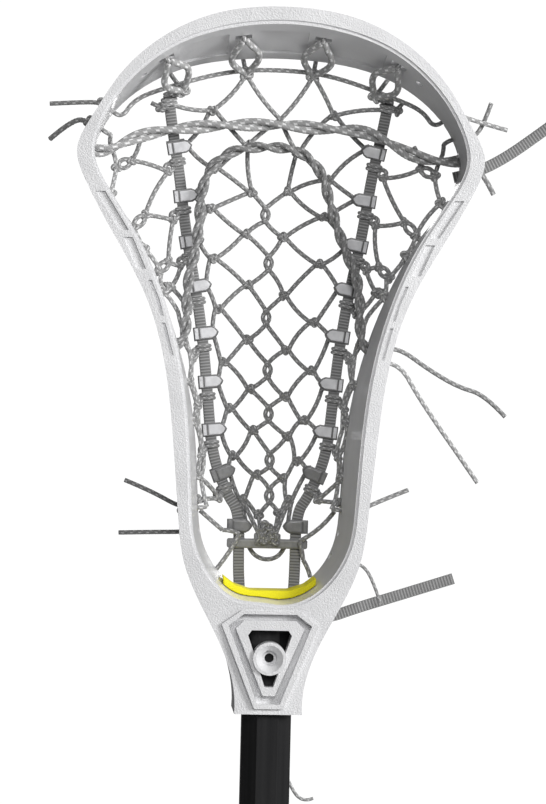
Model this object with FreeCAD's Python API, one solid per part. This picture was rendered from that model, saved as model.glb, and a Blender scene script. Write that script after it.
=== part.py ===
"""A women's lacrosse stick with a runner pocket, built from its separate pieces, in millimetres.

The origin is the middle of the butt end's flat face. +Z runs up the shaft to the scoop, -Y is the
side the ball is caught on, the pocket hangs towards +Y, and +X is the catcher's right. Places on the
head are given as x and h, where h is the height above the bottom edge of the head's socket.
"""

import FreeCAD, Part
import math
import os
from FreeCAD import Vector

os.makedirs("parts", exist_ok=True)

BACKWARD = Vector(0, 1, 0)

# Overall sizes
HEAD_BASE = 720.0  # from the butt end to the bottom edge of the socket
LENGTH = 1081.0  # the whole stick, inside the rule's 900 to 1100

# Shaft: an octagonal aluminium tube, 1 inch across its flats
SHAFT_FLATS = 25.4
SHAFT_WALL = 1.4
SHAFT_IN_SOCKET = 48.0

# Rubber end cap
CAP_FLOOR = 4.0
CAP_HEIGHT = 32.0
CAP_WALL = 2.2
CAP_GAP = 0.05

# Head frame
SCOOP_H = LENGTH - HEAD_BASE
FRONT_Y = -28.0
BACK_Y = 20.0
SIDE_REACH = 130.0
BELOW_SOCKET = -1.0  # a height just under the socket's bottom edge
SIDE_MARGIN = 30.0  # how far under the groove's lower end its side profiles are still used
SOCKET_FLATS = 25.7
SOCKET_DEPTH = 50.0
FLANGE_THICK = 6.0
BACK_BEAD = 7.0
WALL = 3.2
GROOVE_LOW = 88.0
LIP_WIDE = 1.5  # the smooth lip stepped back round the opening's front edge
LIP_DEPTH = 1.0
THROAT_FACE_Y = -17.5
THROAT_RIDGE = 1.6
CHANNEL_DEPTH = 3.0
THROAT_CUT = 4.0  # how far the throat's cutters reach past its face
BORE_REACH = 20.0
RECESS_REACH = 10.0
BOSS_H = 28.8
BOSS_R = 8.5
BOSS_PROUD = 3.0
BOSS_BOWL_R = 6.9
BOSS_SEAT_R = 4.0
BOSS_BOWL_DEPTH = 3.0
BOSS_SEAT_DEPTH = 2.0
BOSS_HOLE_R = 2.4

# Screw through the back of the socket
SCREW_H = 28.8
SCREW_R = 2.0
SCREW_HEAD_R = 4.0
SCREW_HEAD_THICK = 2.2
SCREW_LENGTH = 9.0
SCREW_GAP = 0.05
SCREW_RECESS_GAP = 0.3
SCREW_HEX_R = 1.45
SCREW_HEX_DEPTH = 1.4

# Ball stop pad
PAD_FRONT_Y = -5.0
PAD_BACK_Y = 13.0
PAD_GAP = 0.3

# Cords
CORD_R = 1.2
THICK_CORD_R = 1.35
THIN_CORD_R = 0.9
KNOT_SPREAD = 1.45  # how far two cords that meet in a knot stand each side of its middle
HOLE_R = 1.9
HOLE_CUT = 18.0
HOLE_INSIDE = 6.0  # how much of a hole's cutter lies inside the wall's inner face
HOLE_Y = 14.0
NET_GAP = 0.4
CENTRE_SPREAD = 1.6  # the plait in the middle stands wider than a knot by this factor
KNOT_TURN = 3.2  # how far from a knot's middle a cord of the net starts to turn

# Runner thongs, pocket bar and clips
THONG_WIDE = 6.0
THONG_THICK = 2.0
THONG_SLOT_GAP = 0.35
BAR_H = 85.0
BAR_Y = 26.0
BAR_X = 15.0
BAR_LONG = 42.6
BAR_TALL = 5.0
BAR_THICK = 5.0
BAR_EDGE_R = 1.2
BAR_SLOT_GAP = 0.4
BLOCK_LONG = 14.0
BLOCK_TALL = 7.5
BLOCK_DROP = 2.0  # how far the centre block starts below the bar's middle
BLOCK_EDGE_R = 1.0
EYELET_RISE = 2.4
EYELET_X = 3.2
EYELET_R = 1.75
CLIP_LONG = 12.5
CLIP_TALL = 6.5
CLIP_THICK = 4.8
CLIP_EDGE_R = 0.9
CLIP_OUTER_END = 4.4
LOW_CLIP_OUTER_END = 6.4
LOW_CLIP_H = 94.2

# The pocket's surface
RAIL_Y = 17.0
SCOOP_EDGE_Y = 11.0
POCKET_SAG = 24.0
POCKET_LOW = 70.0
POCKET_HIGH = 335.0
SCOOP_TURN_H = 285.0

# Half outlines of the head as (half-width, h), from the bottom up to the middle of the scoop
OUTER_FRONT = [(17.4, 0), (17.6, 10), (19, 18), (27.5, 39), (38.6, 59), (46.7, 79), (49.5, 100),
               (52.8, 140), (58.2, 180), (67.6, 211), (84, 241), (100.8, 272), (104.7, 286), (97, 303),
               (84.5, 323), (64, 343), (36, 356.5), (0, SCOOP_H)]
OUTER_BACK = [(17.4, 0), (17.6, 10), (19, 18), (25.5, 39), (33, 58), (38, 75), (40.8, 100), (43.4, 140),
              (50.5, 178), (60.5, 207.5), (75.5, 238), (93, 265), (100.8, 284), (96, 302), (84, 317),
              (62, 330.5), (36, 337.5), (0, 340)]
INNER_FRONT = [(0, 55.5), (18, 58), (34, 73), (40.5, 88), (42.4, 105), (44.3, 140), (49.5, 180),
               (58, 211), (71.6, 242), (88, 268), (95, 285), (92.5, 298), (86, 311), (72, 328),
               (54, 341), (28, 350), (0, 353)]
INNER_BACK = [(0, 61), (15, 63), (29, 75), (35, 88), (37.2, 105), (39.5, 140), (46.5, 179), (56.5, 209),
              (71.5, 240), (89, 267), (96.5, 284), (93.5, 297.5), (85.5, 309.5), (69.5, 322), (50, 330),
              (26, 334), (0, 335)]

# The head from the side, as (y, h)
SIDE_FRONT = [(-17.5, -1), (-17.5, 42), (-20, 75), (-23.8, 120), (-24.6, 165), (-22.5, 230), (-23.5, 290),
              (-28, 366)]
SIDE_BACK = [(17.5, -1), (17.5, 48), (19, 80), (20, 140), (20, 255), (16, 298), (11, 325), (7, 366)]

# The throat's moulded shapes, as right halves (x, h)
THROAT_RIDGE_HALF = [(14.7, 53.3), (24.9, 46), (7.4, 3)]
THROAT_CHANNEL_HALF = [(13.6, 51.4), (21.4, 45.6), (5.8, 5.4)]
THROAT_FRAME_HALF = [(13.2, 48.3), (17.6, 44), (3.0, 9.7)]
THROAT_WINDOW_HALF = [(9.4, 43.2), (11.2, 40.6), (2.2, 14.2)]
REAR_POCKET = [(18, 33), (20.5, 35), (28, 54), (26, 57.5), (18, 53)]
REAR_POCKET_FLOOR_Y = -2.0

# Recesses in the rails' front faces as (lower h, upper h, from the inner edge, to the inner edge)
RAIL_RECESSES = [(182.5, 199, 2.6, 4.4), (202.5, 220.5, 2.6, 4.4), (226, 242, 3.2, 8.0),
                 (245.5, 265, 3.2, 8.0)]
RAIL_RECESS_DEPTH = 1.2
# Shallow pockets in the scoop's inner wall as (lower x, upper x)
SCOOP_POCKETS = [(-53, -28), (-13, 13), (28, 53)]
SCOOP_POCKET_DEPTH = 1.2
SCOOP_POCKET_Y = (-19.0, 3.0)
SCOOP_POCKET_LOW = 318.0
# A small hole through each shoulder of the scoop, as (x, y, h) and its lean
SHOULDER_HOLE = (69.8, -10.0, 325.0)
SHOULDER_HOLE_LEAN = 45.0

# Slots in the scoop's wall for the ties, as (x, h of the wall's inner face there, lean in degrees)
SCOOP_SLOTS = [(-59.5, 334, -36), (-20.5, 346.5, -11), (20.5, 346.5, 11), (59.5, 334, 36)]
SLOT_Y = -14.0
SLOT_LONG = 8.5
SLOT_WIDE = 4.2
SLOT_CUT = 16.0
# A tie's loop through its slot and over the wall's back edge, as (y, rise from the slot's inner face)
TIE_LOOP = [(17, -20), (10, -13.5), (-2, -8.4), (-13.6, -3.6), (-14.6, 8.5), (-4, 10.5), (7, 6.5),
            (15.5, 1.5), (19.5, -7), (19, -17)]
TIE_TURN = 2.4

# Heights of the string holes in each sidewall: top string, side string, two shooting strings, side string
# turns, two ends of the pocket's arch, and the low strings
TOP_HOLE = 309
SIDE_HOLE = 300
SHOOTING_HOLES = (292, 286)
ARCH_HOLES = (192, 185.5)
LOW_HOLES = (104, 92, 80)
TURN_HOLES = (266, 238, 216)
STRING_HOLES = (TOP_HOLE, SIDE_HOLE) + SHOOTING_HOLES + TURN_HOLES + ARCH_HOLES + LOW_HOLES
SHOOTING_FORWARD = 5.0
SHOOTING_APART = 3.4  # between the middles of the two shooting strings
LACE_FORWARD = 3.2
HOLE_LEAD = 5.0  # how far inside the wall a string lines up with its hole
HOLE_END = 1.0
TAIL_START = 1.6
TAIL_LEAD = 8.0

# The pad's upper faces, as (x, h)
PAD_TOP_HALF = [(10.0, 62.6), (18.5, 65.4), (24.0, 69.6)]
PAD_BOTTOM_H = 50.0

# Routes on the pocket, as (x, h). The left runner thong's own corners; the right one mirrors it.
THONG_ROUTE = [(-57.8, 319), (-56, 306), (-51, 280), (-47.8, 255.5), (-43.5, 232), (-38.8, 208),
               (-35.3, 182.5), (-32.8, 157), (-30.3, 132), (-22, 111)]
THONG_STRAIGHT = (101.5, 73)
THONG_BEHIND = [(0.6, 22.5, 63), (1.0, 20.2, 54), (1.0, 19.9, 40)]  # as (x in from BAR_X, y, h)
OUTER_LEFT = [(-34.5, 312.5), (-32, 283), (-34, 262), (-32, 235.5), (-28.5, 209), (-25, 180.5), (-21, 156),
              (-18.5, 131), (-13.5, 108)]
INNER_LEFT = [(-15, 295.5), (-12, 271), (-14.5, 249), (-12.5, 222), (-12, 193), (-10, 166.5), (-8, 144.5),
              (-6, 121), (-4.5, 100)]
OUTER_RIGHT = [(29.5, 311.5), (28, 278.5), (26.5, 259), (25, 234), (22.5, 203), (22, 177), (18.5, 150.5),
               (15.5, 129), (11.5, 108)]
INNER_RIGHT = [(11, 292.5), (7, 272), (5, 248), (6.5, 217), (8.5, 188), (8.5, 163), (10, 142), (8, 119.5),
               (6.0, 101)]
CENTRE = [(-4.5, 259.5), (-2, 234), (-2.5, 205), (-1, 177), (0, 153.5), (1, 129), (1, 110)]
TOP_STRING = [(-76, 316), (-61, 322.5), (-27, 332.5), (0, 334), (27, 332), (61, 321), (76, 315)]
# The laces' upper ends, each from a first outer knot up to a scoop tie and down across the middle, as (x, h),
# and how far forward each lies
UPPER_LACES = {"left": ([(-33, 315.5), (-21, 322.5), (-14, 320), (8, 296)], 0.0),
               "right": ([(28, 315), (21, 322.5), (13, 320), (-11.5, 299)], -3.0)}
SHOOTING = [(-76, 296.5), (-57, 301.5), (-26, 305), (5, 306), (26, 304), (44, 304), (57, 299), (73, 290.5)]
ARCH = [(-46, 222), (-41, 240), (-40, 260), (-37.5, 280), (-25.5, 291.5), (-7, 294.5), (12, 293), (24, 283),
        (30, 262), (37, 242), (46, 222)]
# For each cord of the arch: which hole, how far forward it lies, and its lead from the wall
ARCH_CORDS = {"front": (1, 10.2, 10.0), "back": (0, 6.5, 5.0)}
# A side string's turns as (x, h); None is a turn at the next of TURN_HOLES
SIDE_TURNS = [(84, 281.5), None, (74.5, 249.5), None, (59.5, 226), None, (50, 206), (47.5, 197), (44, 187),
              (42.5, 172), (38.5, 160), (38, 146), (35.5, 134), (36, 120), (33, 108)]
# Where a side string passes behind the shooting strings, as (x, y, h)
BEHIND_SHOOTING = (87.5, 18.8, 292.5)
SIDE_LACE = [(-80, 284), (-71, 286.5), (-61, 283), (-56, 282.4), (-56, 278.2), (-62, 275.5), (-68.5, 261),
             (-71.5, 257.5), (-70.5, 254), (-64, 256), (-57.5, 256.8), (-53.2, 256.4), (-53.2, 252.2),
             (-57.5, 249.5), (-57.5, 236), (-60, 232.5), (-57, 229.5), (-52.5, 232), (-47.5, 231.5)]

BAR_TIE = [(-9, 81), (-6, 78.5), (0, 76.5), (6, 78), (9, 80.5)]

# Free ends: cord radius, the side and height of the hole each leaves, and its route as (x, y, h)
TAIL_ROUTES = {
    "top_string_tail_left": (CORD_R, -1, TOP_HOLE, [(-104, 14, 314), (-119.5, 12, 312.5)]),
    "top_string_tail_right": (CORD_R, 1, TOP_HOLE, [(106, 15, 310), (121, 13, 306)]),
    "side_string_tail_left": (THICK_CORD_R, -1, SIDE_HOLE, [(-107, 18, 306), (-119, 11, 294)]),
    "side_string_tail_right": (CORD_R, 1, SIDE_HOLE, [(107, 20, 302.5), (112, 13, 320)]),
    "arch_tail_upper": (CORD_R, 1, ARCH_HOLES[0], [(68, 15, 189), (82, 13, 179), (98, 12, 170),
                                                   (112, 12, 166.5), (123, 11, 155)]),
    "arch_tail_lower": (CORD_R, 1, ARCH_HOLES[1], [(68, 14, 180), (76, 12, 166), (87, 10, 150),
                                                   (99, 11, 134), (109, 10, 120)]),
    "low_string_tail_left": (CORD_R, -1, LOW_HOLES[0], [(-62, 15, 112), (-76, 13, 117.5)]),
    "lace_tail_left": (CORD_R, -1, LOW_HOLES[1], [(-62, 15, 90.5), (-78.5, 13, 90)]),
    "low_string_tail_right": (CORD_R, 1, LOW_HOLES[0], [(60, 15, 110), (73, 13, 115.5)]),
    "lace_tail_right": (THIN_CORD_R, 1, LOW_HOLES[2], [(51, 15, 76), (58, 13, 61), (59.5, 12, 55)]),
}
TIE_CORD_TAIL = [(4, 20, 44), (5.5, 22, 22), (6, 23, -2), (9, 22, -24), (14, 19, -41), (21, 17, -50.5),
                 (27, 17, -48)]
SHORT_END = [(110, 15, 281), (114.5, 14, 272)]  # the lower shooting string's own end outside its hole
# Flat ribbed ends as (x, y, h)
FLAT_TAIL_ROUTES = {
    "shooting_thong_tail": [(94, 21.5, 281), (106, 21, 284), (121, 19, 292), (136, 16, 303), (149, 13, 313)],
    "runner_thong_tail": [(20, 21.5, 46), (32, 24, 46), (48, 24, 52), (72, 21, 60), (98.5, 18, 69)],
}


def between(table, h):
    """The half-width at height h, from an outline's points."""
    for (wide, low), (next_wide, high) in zip(table, table[1:]):
        if low <= h <= high:
            return wide + (next_wide - wide) * (h - low) / (high - low)
    return 0.0


def pocket_y(x, h):
    """How far back the pocket's surface lies."""
    turned = min(max((h - SCOOP_TURN_H) / (POCKET_HIGH - SCOOP_TURN_H), 0.0), 1.0)
    edge = RAIL_Y + (SCOOP_EDGE_Y - RAIL_Y) * turned
    along = min(max((h - POCKET_LOW) / (POCKET_HIGH - POCKET_LOW), 0.0), 1.0)
    hang = math.sin(math.pi * along**0.8) ** 0.8 if 0.0 < along < 1.0 else 0.0
    across = max(0.0, 1.0 - (x / max(between(INNER_BACK, h), 1.0)) ** 2)
    return edge + POCKET_SAG * hang * across


def head_point(x, y, h):
    return Vector(x, y, HEAD_BASE + h)


def on_pocket(x, h, forward=0.0):
    return head_point(x, pocket_y(x, h) - forward, h)


def hole_axis(side, h):
    """Where a string hole meets the wall's inner face, and its direction outward."""
    rise = wall_x(h + 4, HOLE_Y) - wall_x(h - 4, HOLE_Y)
    return head_point(side * wall_x(h, HOLE_Y), HOLE_Y, h), Vector(side * 8.0, 0, -rise).normalize()


def in_hole(side, h, *depths):
    """Points along a string hole, from inside the head outward."""
    middle, out = hole_axis(side, h)
    return [middle + out * depth for depth in depths]


def wall_x(h, y):
    """The half-width of the sidewall's inner face."""
    share = (y - FRONT_Y) / (BACK_Y - FRONT_Y)
    return between(INNER_FRONT, h) * (1 - share) + between(INNER_BACK, h) * share


# ---- shapes ----


def prism(points, y_front, y_back):
    """A solid over a polygon of (x, h) points, from one y to another."""
    corners = [head_point(x, y_front, h) for x, h in points]
    return Part.Face(Part.makePolygon(corners + corners[:1])).extrude(Vector(0, y_back - y_front, 0))


def mirrored(half):
    """A closed polygon from its right half, listed from the top down."""
    return half + [(-x, h) for x, h in reversed(half)]


def octagon(flats, low, high):
    """An octagonal bar about the shaft's axis."""
    radius = flats / 2 / math.cos(math.pi / 8)
    angles = [math.pi / 8 + n * math.pi / 4 for n in range(9)]
    ring = [Vector(radius * math.cos(a), radius * math.sin(a), low) for a in angles]
    return Part.Face(Part.makePolygon(ring)).extrude(Vector(0, 0, high - low))


def rod(radius, start, along, length):
    return Part.makeCylinder(radius, length, start, along)


def filleted_path(points, most_reach=math.inf):
    """Straight runs joined by tangent arcs, as large as the runs and most_reach allow, and their radii."""
    edges = []
    radii = []
    here = points[0]
    for before, corner, after in zip(points, points[1:], points[2:]):
        into = (corner - before).normalize()
        out = (after - corner).normalize()
        turn = into.getAngle(out)
        reach = min(0.45 * min((corner - before).Length, (after - corner).Length), most_reach)
        start = corner - into * reach
        end = corner + out * reach
        radius = reach / math.tan(turn / 2)
        inward = (out - into).normalize()
        middle = corner + inward * (radius / math.cos(turn / 2) - radius)
        edges.append(Part.LineSegment(here, start).toShape())
        edges.append(Part.Arc(start, middle, end).toShape())
        radii.append(radius)
        here = end
    edges.append(Part.LineSegment(here, points[-1]).toShape())
    return Part.Wire(edges), radii


def tube(points, radius, most_reach=math.inf):
    """A round cord along a route."""
    path, radii = filleted_path(points, most_reach)
    section = Part.Wire(Part.makeCircle(radius, points[0], points[1] - points[0]))
    return path.makePipeShell([section], True, False), path.Length, radii


def strip(points, wide, thick, flat_normal):
    """A flat cord along a route, its width square to flat_normal."""
    path, radii = filleted_path(points)
    along = (points[1] - points[0]).normalize()
    side = along.cross(flat_normal).normalize()
    up = side.cross(along).normalize()
    corners = [(1, 1), (1, -1), (-1, -1), (-1, 1), (1, 1)]
    ring = [points[0] + side * (a * wide / 2) + up * (b * thick / 2) for a, b in corners]
    sweep = Part.BRepOffsetAPI.MakePipeShell(path)
    sweep.setBiNormalMode(flat_normal)
    sweep.add(Part.makePolygon(ring))
    sweep.build()
    sweep.makeSolid()
    return sweep.shape(), path.Length, radii


def save(name, shape):
    shape.exportStep(f"parts/{name}.step")


def save_cord(name, made, section_area):
    """Write a cord, and print its length, tightest arc and how its volume compares."""
    shape, length, radii = made
    share = shape.Volume / (section_area * length)
    print(f"{name}: length {length:.1f}, tightest radius {min(radii):.1f}, volume ratio {share:.4f}")
    save(name, shape)


def round_cord(name, points, radius, most_reach=math.inf):
    save_cord(name, tube(points, radius, most_reach), math.pi * radius**2)


# ---- shaft, end cap and screw ----


def shaft():
    top = HEAD_BASE + SHAFT_IN_SOCKET
    outside = octagon(SHAFT_FLATS, CAP_FLOOR, top)
    inside = octagon(SHAFT_FLATS - 2 * SHAFT_WALL, CAP_FLOOR - 1, top + 1)
    hole = rod(SCREW_R + SCREW_GAP, head_point(0, 0, SCREW_H), BACKWARD, SHAFT_FLATS)
    return outside.cut(inside).cut(hole)


def end_cap():
    outside = octagon(SHAFT_FLATS + 2 * CAP_WALL, 0, CAP_HEIGHT)
    rim = [e for e in outside.Edges if abs(e.CenterOfMass.z - CAP_HEIGHT) < 0.01 or e.CenterOfMass.z < 0.01]
    rounded = outside.makeFillet(CAP_WALL / 2, rim)
    return rounded.cut(octagon(SHAFT_FLATS + 2 * CAP_GAP, CAP_FLOOR, CAP_HEIGHT + 1))


def head_screw():
    back_y = -THROAT_FACE_Y - SCREW_RECESS_GAP
    head_start = head_point(0, back_y - SCREW_HEAD_THICK, SCREW_H)
    head = rod(SCREW_HEAD_R, head_start, BACKWARD, SCREW_HEAD_THICK)
    shank = rod(SCREW_R, head_point(0, back_y - SCREW_LENGTH, SCREW_H), BACKWARD, SCREW_LENGTH)
    angles = [n * math.pi / 3 for n in range(7)]
    places = [(SCREW_HEX_R * math.cos(a), SCREW_H + SCREW_HEX_R * math.sin(a)) for a in angles]
    ring = [head_point(x, back_y, h) for x, h in places]
    key = Part.Face(Part.makePolygon(ring)).extrude(Vector(0, -SCREW_HEX_DEPTH, 0))
    return head.fuse(shank).cut(key)


# ---- head frame ----


def open_outline(half, y):
    """The head's outside at one depth: a spline over the scoop, closed by the socket's bottom edge."""
    right = [head_point(w, y, h) for w, h in half]
    left = [head_point(-w, y, h) for w, h in reversed(half[:-1])]
    curve = Part.BSplineCurve()
    curve.interpolate(right + left)
    return Part.Wire([curve.toShape(), Part.LineSegment(left[-1], right[0]).toShape()])


def closed_outline(half, y, spread=0.0):
    """The opening's outline at one depth, a closed spline, moved outward by spread."""
    places = [(w, h) for w, h in half] + [(-w, h) for w, h in reversed(half[1:-1])]
    count = len(places)
    points = []
    for n, (x, h) in enumerate(places):
        before = places[n - 1]
        after = places[(n + 1) % count]
        slope = Vector(after[0] - before[0], 0, after[1] - before[1]).normalize()
        points.append(head_point(x + spread * slope.z, y, h - spread * slope.x))
    curve = Part.BSplineCurve()
    curve.interpolate(Points=points, PeriodicFlag=True)
    return Part.Wire([curve.toShape()])


def opening(spread):
    """The solid that fills the head's opening, from front to back."""
    return Part.makeLoft([closed_outline(INNER_FRONT, FRONT_Y, spread),
                          closed_outline(INNER_BACK, BACK_Y, spread)], True, True)


def side_region(front_in, back_in, low):
    """A slab across the whole head whose side view lies between the two side profiles."""
    in_front = [(y + front_in, max(h, low)) for y, h in SIDE_FRONT if h > low - SIDE_MARGIN]
    behind = [(y - back_in, max(h, low)) for y, h in SIDE_BACK if h > low - SIDE_MARGIN]
    front = [Vector(-SIDE_REACH, y, HEAD_BASE + h) for y, h in in_front]
    back = [Vector(-SIDE_REACH, y, HEAD_BASE + h) for y, h in behind]
    front_curve = Part.BSplineCurve()
    front_curve.interpolate(front)
    back_curve = Part.BSplineCurve()
    back_curve.interpolate(back)
    edges = [front_curve.toShape(), Part.LineSegment(front[-1], back[-1]).toShape(),
             back_curve.toShape(), Part.LineSegment(back[0], front[0]).toShape()]
    wire = Part.Wire(Part.__sortEdges__(edges))
    return Part.Face(wire).extrude(Vector(2 * SIDE_REACH, 0, 0))


def front_half():
    """Everything in front of the shaft's axis."""
    return Part.makeBox(2 * SIDE_REACH, SIDE_REACH, LENGTH, Vector(-SIDE_REACH, -SIDE_REACH, HEAD_BASE))


def slot_cutter(x, h, lean):
    """A slot through the scoop's wall, square to it."""
    corner = Vector(-SLOT_LONG / 2, -SLOT_WIDE / 2, -SLOT_CUT / 2)
    box = Part.makeBox(SLOT_LONG, SLOT_WIDE, SLOT_CUT, corner)
    box.rotate(Vector(0, 0, 0), BACKWARD, lean)
    box.translate(head_point(x, SLOT_Y, h))
    return box


def hole_cutter(side, h):
    """A string hole through a sidewall, square to it."""
    middle, out = hole_axis(side, h)
    return rod(HOLE_R, middle - out * HOLE_INSIDE, out, HOLE_CUT)


def head_frame():
    body = Part.makeLoft([open_outline(OUTER_FRONT, FRONT_Y), open_outline(OUTER_BACK, BACK_Y)], True, True)
    body = body.common(side_region(0.0, 0.0, BELOW_SOCKET))
    body = body.cut(opening(0.0))
    lip = opening(LIP_WIDE).cut(side_region(LIP_DEPTH, 0.0, BELOW_SOCKET)).common(front_half())
    body = body.cut(lip)
    groove = side_region(FLANGE_THICK, BACK_BEAD, GROOVE_LOW).cut(opening(WALL))
    body = body.cut(groove)
    ridge = prism(mirrored(THROAT_RIDGE_HALF), THROAT_FACE_Y - THROAT_RIDGE, THROAT_FACE_Y + 1)
    body = body.fuse(ridge)
    channel = prism(mirrored(THROAT_CHANNEL_HALF), THROAT_FACE_Y - THROAT_CUT,
                    THROAT_FACE_Y + CHANNEL_DEPTH)
    past_face = THROAT_FACE_Y - THROAT_CUT - 1
    frame = prism(mirrored(THROAT_FRAME_HALF), past_face, THROAT_FACE_Y + THROAT_CUT + 1)
    channel = channel.cut(frame)
    body = body.cut(channel)
    body = body.cut(prism(mirrored(THROAT_WINDOW_HALF), past_face, 0))
    boss_front = THROAT_FACE_Y - BOSS_PROUD
    boss = rod(BOSS_R, head_point(0, boss_front, BOSS_H), BACKWARD, -boss_front)
    body = body.fuse(boss)
    boss_start = head_point(0, boss_front, BOSS_H)
    bowl = Part.makeCone(BOSS_BOWL_R, BOSS_SEAT_R, BOSS_BOWL_DEPTH, boss_start, BACKWARD)
    seat = rod(BOSS_SEAT_R, boss_start, BACKWARD, BOSS_BOWL_DEPTH + BOSS_SEAT_DEPTH)
    bore = rod(BOSS_HOLE_R, boss_start, BACKWARD, BORE_REACH)
    recess_floor = -THROAT_FACE_Y - SCREW_RECESS_GAP - SCREW_HEAD_THICK
    recess = rod(SCREW_HEAD_R + SCREW_RECESS_GAP, head_point(0, recess_floor, SCREW_H), BACKWARD,
                 RECESS_REACH)
    screw_hole = rod(SCREW_R + SCREW_GAP, head_point(0, 1, SCREW_H), BACKWARD, BORE_REACH)
    socket = octagon(SOCKET_FLATS, HEAD_BASE - 1, HEAD_BASE + SOCKET_DEPTH)
    cutters = [bowl, seat, bore, recess, screw_hole, socket]
    for side in (-1, 1):
        rear = prism([(side * x, h) for x, h in REAR_POCKET], REAR_POCKET_FLOOR_Y, BACK_Y + 1)
        cutters.append(rear)
        cutters += [hole_cutter(side, h) for h in STRING_HOLES]
        cutters += [rail_recess(side, *recess) for recess in RAIL_RECESSES]
        cutters.append(shoulder_hole(side))
    cutters += [slot_cutter(*slot) for slot in SCOOP_SLOTS]
    cutters += scoop_pockets()
    for cutter in cutters:
        body = body.cut(cutter)
    return body


def rail_recess(side, low, high, inner, outer):
    """A shallow channel in a rail's front face that follows the opening's edge."""
    heights = [low + (high - low) * n / 4 for n in range(5)]
    near = [(side * (between(INNER_FRONT, h) + inner), h) for h in heights]
    far = [(side * (between(INNER_FRONT, h) + outer), h) for h in reversed(heights)]
    return prism(near + far, FRONT_Y - 1, 0).cut(side_region(RAIL_RECESS_DEPTH, 0.0, BELOW_SOCKET))


def scoop_pockets():
    """The shallow pockets between the slots of the scoop's inner wall."""
    deeper = opening(SCOOP_POCKET_DEPTH)
    front_y, back_y = SCOOP_POCKET_Y
    shapes = []
    for low_x, high_x in SCOOP_POCKETS:
        block = prism([(low_x, SCOOP_POCKET_LOW), (high_x, SCOOP_POCKET_LOW), (high_x, SCOOP_H),
                       (low_x, SCOOP_H)], front_y, back_y)
        shapes.append(deeper.common(block))
    return shapes


def shoulder_hole(side):
    x, y, h = SHOULDER_HOLE
    angle = math.radians(SHOULDER_HOLE_LEAN)
    out = Vector(side * math.sin(angle), 0, math.cos(angle))
    return rod(HOLE_R, head_point(side * x, y, h) - out * HOLE_INSIDE, out, HOLE_CUT)


def ball_stop_pad():
    """A foam strip that lines the bottom of the opening."""
    top = [(-x, h) for x, h in reversed(PAD_TOP_HALF)] + PAD_TOP_HALF
    last = PAD_TOP_HALF[-1][0]
    block = prism(top + [(last, PAD_BOTTOM_H), (-last, PAD_BOTTOM_H)], PAD_FRONT_Y, PAD_BACK_Y)
    return block.common(opening(-PAD_GAP))


# ---- runners, clips and bar ----


def thong_points(side):
    """A runner thong's corners, from the scoop down to where it is tied behind the throat."""
    on_net = [on_pocket(-side * x, h) for x, h in THONG_ROUTE]
    straight = [head_point(side * BAR_X, BAR_Y, h) for h in THONG_STRAIGHT]
    behind = [head_point(side * (BAR_X - step), y, h) for step, y, h in THONG_BEHIND]
    return on_net + straight + behind


def clip_frame(low, high, side):
    """The axes of a clip on a run of thong: inward, back and up."""
    up = (high - low).normalize()
    inward = BACKWARD.cross(up).normalize()
    if inward.x * side > 0:
        inward = inward * -1
    back = up.cross(inward).normalize()
    return inward, back, up


def runner_clip(middle, axes, outer_end):
    """A clip with a slot for its thong and a bullet nose that points to the pocket's middle."""
    inward, back, up = axes
    nose_r = CLIP_TALL / 2
    straight = CLIP_LONG - nose_r
    body = Part.makeBox(straight, CLIP_THICK, CLIP_TALL, Vector(-outer_end, -CLIP_THICK / 2, -nose_r))
    nose_x = straight - outer_end
    nose = Part.makeCylinder(nose_r, CLIP_THICK, Vector(nose_x, -CLIP_THICK / 2, 0), BACKWARD)
    whole = body.fuse(nose).removeSplitter()
    long_edges = [e for e in whole.Edges if abs(abs(e.CenterOfMass.y) - CLIP_THICK / 2) < 0.01]
    whole = whole.makeFillet(CLIP_EDGE_R, long_edges)
    slot_wide = THONG_WIDE + 2 * THONG_SLOT_GAP
    slot_thick = THONG_THICK + 2 * THONG_SLOT_GAP
    slot_corner = Vector(-slot_wide / 2, -slot_thick / 2, -CLIP_TALL)
    slot = Part.makeBox(slot_wide, slot_thick, 2 * CLIP_TALL, slot_corner)
    whole = whole.cut(slot)
    matrix = FreeCAD.Matrix(inward.x, back.x, up.x, middle.x, inward.y, back.y, up.y, middle.y,
                            inward.z, back.z, up.z, middle.z, 0, 0, 0, 1)
    return whole.transformShape(matrix, True)


def clip_places(side):
    """Where each clip sits: the middle of each run of thong, and the last on the straight above the bar."""
    points = thong_points(side)
    count = len(THONG_ROUTE)
    places = []
    for high, low in zip(points[1:count - 1], points[2:count]):
        places.append(((high + low) * 0.5, clip_frame(low, high, side), CLIP_OUTER_END))
    low_middle = head_point(side * BAR_X, BAR_Y, LOW_CLIP_H)
    places.append((low_middle, clip_frame(points[count + 1], points[count], side), LOW_CLIP_OUTER_END))
    return places


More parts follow.
